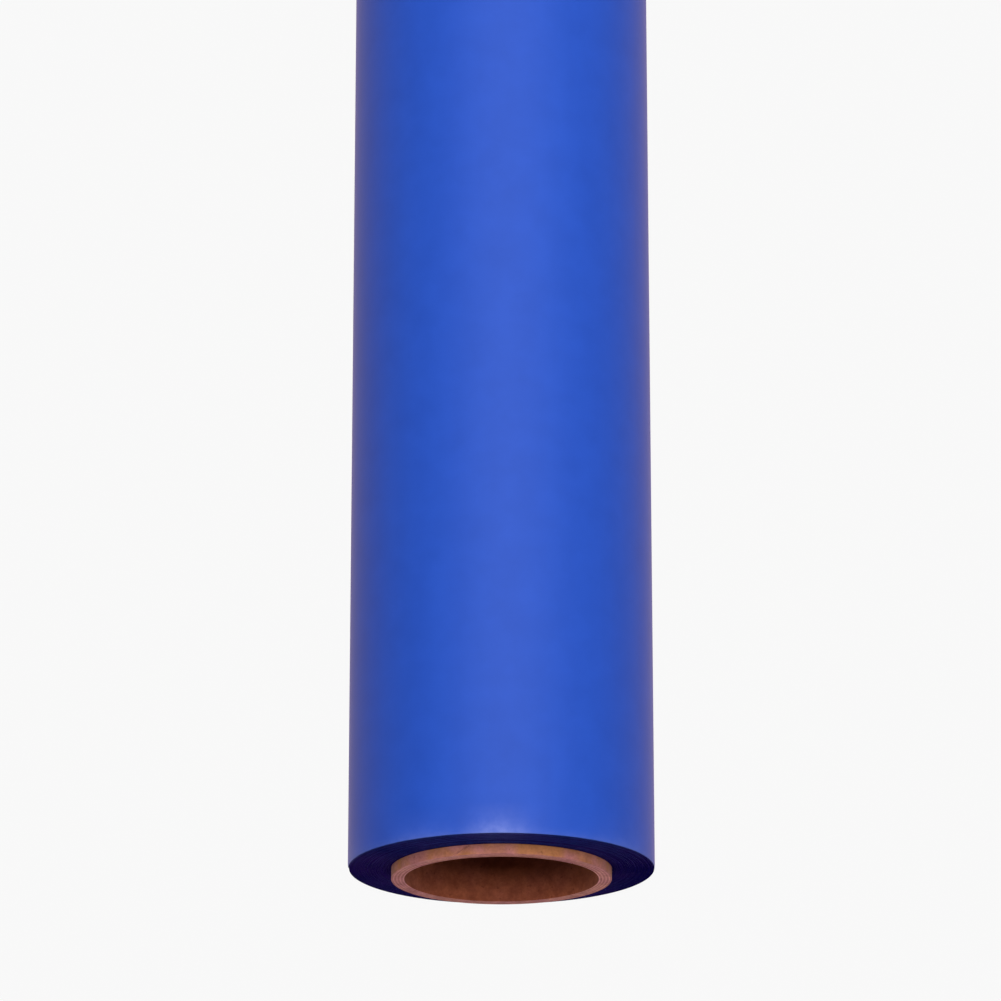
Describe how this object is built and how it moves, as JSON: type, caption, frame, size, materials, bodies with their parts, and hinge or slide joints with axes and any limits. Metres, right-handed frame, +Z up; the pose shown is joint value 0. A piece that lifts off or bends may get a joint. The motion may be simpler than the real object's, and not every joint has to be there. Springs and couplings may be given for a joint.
{
  "type": "backdrop paper roll",
  "caption": "Roll of coloured background paper wound on a hollow board core, with a taped outer turn that uncurls and hangs down.",
  "frame": {"origin": "on the axis of the core's bore, halfway along the roll", "axes": "+Y along the roll, away from the end the picture looks at; +Z up as the roll hangs on a bar; -X the side the sheet hangs down from"},
  "size_m": [0.0792, 1.3566, 0.079],
  "materials": {
    "core_liner": "bare brown kraft liner, matt",
    "core_board": "bare grey-brown board, matt, seen at the cut ends",
    "core_cover": "tan kraft paper, slightly smooth",
    "starting_tape": "thin double-sided tissue tape",
    "backdrop_paper": "matt royal blue, coloured right through",
    "closing_tape": "pale crepe paper tape, matt"
  },
  "bodies": {
    "roll": {"core_ply_1_liner": "core_liner", "core_ply_2": "core_board", "core_ply_3": "core_board", "core_ply_4": "core_board", "core_ply_5": "core_board", "core_ply_6": "core_board", "core_ply_7": "core_board", "core_ply_8_cover": "core_cover", "starting_tape": "starting_tape", "wound_paper": "backdrop_paper"},
    "turn_01": {"outer_turn_01": "backdrop_paper"},
    "turn_02": {"outer_turn_02": "backdrop_paper"},
    "turn_03": {"outer_turn_03": "backdrop_paper"},
    "turn_04": {"outer_turn_04": "backdrop_paper"},
    "turn_05": {"outer_turn_05": "backdrop_paper"},
    "turn_06": {"outer_turn_06": "backdrop_paper"},
    "turn_07": {"outer_turn_07": "backdrop_paper"},
    "turn_08": {"outer_turn_08": "backdrop_paper"},
    "turn_09": {"outer_turn_09": "backdrop_paper"},
    "turn_10": {"outer_turn_10": "backdrop_paper"},
    "turn_11": {"outer_turn_11": "backdrop_paper"},
    "turn_12": {"outer_turn_12": "backdrop_paper", "closing_tape_near": "closing_tape", "closing_tape_middle": "closing_tape", "closing_tape_far": "closing_tape"}
  },
  "joints": [
    {"name": "unroll_01", "type": "hinge", "parent": "roll", "child": "turn_01", "pos_m": [-0.0395, 0, 0], "axis": [0, 1, 0], "range_deg": [0, 15]},
    {"name": "unroll_02", "type": "hinge", "parent": "turn_01", "child": "turn_02", "pos_m": [-0.03427, 0, -0.01963], "axis": [0, 1, 0], "range_deg": [0, 30]},
    {"name": "unroll_03", "type": "hinge", "parent": "turn_02", "child": "turn_03", "pos_m": [-0.01998, 0, -0.03407], "axis": [0, 1, 0], "range_deg": [0, 30]},
    {"name": "unroll_04", "type": "hinge", "parent": "turn_03", "child": "turn_04", "pos_m": [-0.0004, 0, -0.03949], "axis": [0, 1, 0], "range_deg": [0, 30]},
    {"name": "unroll_05", "type": "hinge", "parent": "turn_04", "child": "turn_05", "pos_m": [0.01928, 0, -0.03447], "axis": [0, 1, 0], "range_deg": [0, 30]},
    {"name": "unroll_06", "type": "hinge", "parent": "turn_05", "child": "turn_06", "pos_m": [0.03386, 0, -0.02032], "axis": [0, 1, 0], "range_deg": [0, 30]},
    {"name": "unroll_07", "type": "hinge", "parent": "turn_06", "child": "turn_07", "pos_m": [0.03949, 0, -0.0008], "axis": [0, 1, 0], "range_deg": [0, 30]},
    {"name": "unroll_08", "type": "hinge", "parent": "turn_07", "child": "turn_08", "pos_m": [0.03466, 0, 0.01893], "axis": [0, 1, 0], "range_deg": [0, 30]},
    {"name": "unroll_09", "type": "hinge", "parent": "turn_08", "child": "turn_09", "pos_m": [0.02066, 0, 0.03366], "axis": [0, 1, 0], "range_deg": [0, 30]},
    {"name": "unroll_10", "type": "hinge", "parent": "turn_09", "child": "turn_10", "pos_m": [0.0012, 0, 0.03948], "axis": [0, 1, 0], "range_deg": [0, 30]},
    {"name": "unroll_11", "type": "hinge", "parent": "turn_10", "child": "turn_11", "pos_m": [-0.01858, 0, 0.03485], "axis": [0, 1, 0], "range_deg": [0, 30]},
    {"name": "unroll_12", "type": "hinge", "parent": "turn_11", "child": "turn_12", "pos_m": [-0.03345, 0, 0.021], "axis": [0, 1, 0], "range_deg": [0, 30]}
  ],
  "couplings": [
    {"joint": "unroll_02", "follows": "unroll_01", "ratio": 2},
    {"joint": "unroll_03", "follows": "unroll_01", "ratio": 2},
    {"joint": "unroll_04", "follows": "unroll_01", "ratio": 2},
    {"joint": "unroll_05", "follows": "unroll_01", "ratio": 2},
    {"joint": "unroll_06", "follows": "unroll_01", "ratio": 2},
    {"joint": "unroll_07", "follows": "unroll_01", "ratio": 2},
    {"joint": "unroll_08", "follows": "unroll_01", "ratio": 2},
    {"joint": "unroll_09", "follows": "unroll_01", "ratio": 2},
    {"joint": "unroll_10", "follows": "unroll_01", "ratio": 2},
    {"joint": "unroll_11", "follows": "unroll_01", "ratio": 2},
    {"joint": "unroll_12", "follows": "unroll_01", "ratio": 2}
  ]
}
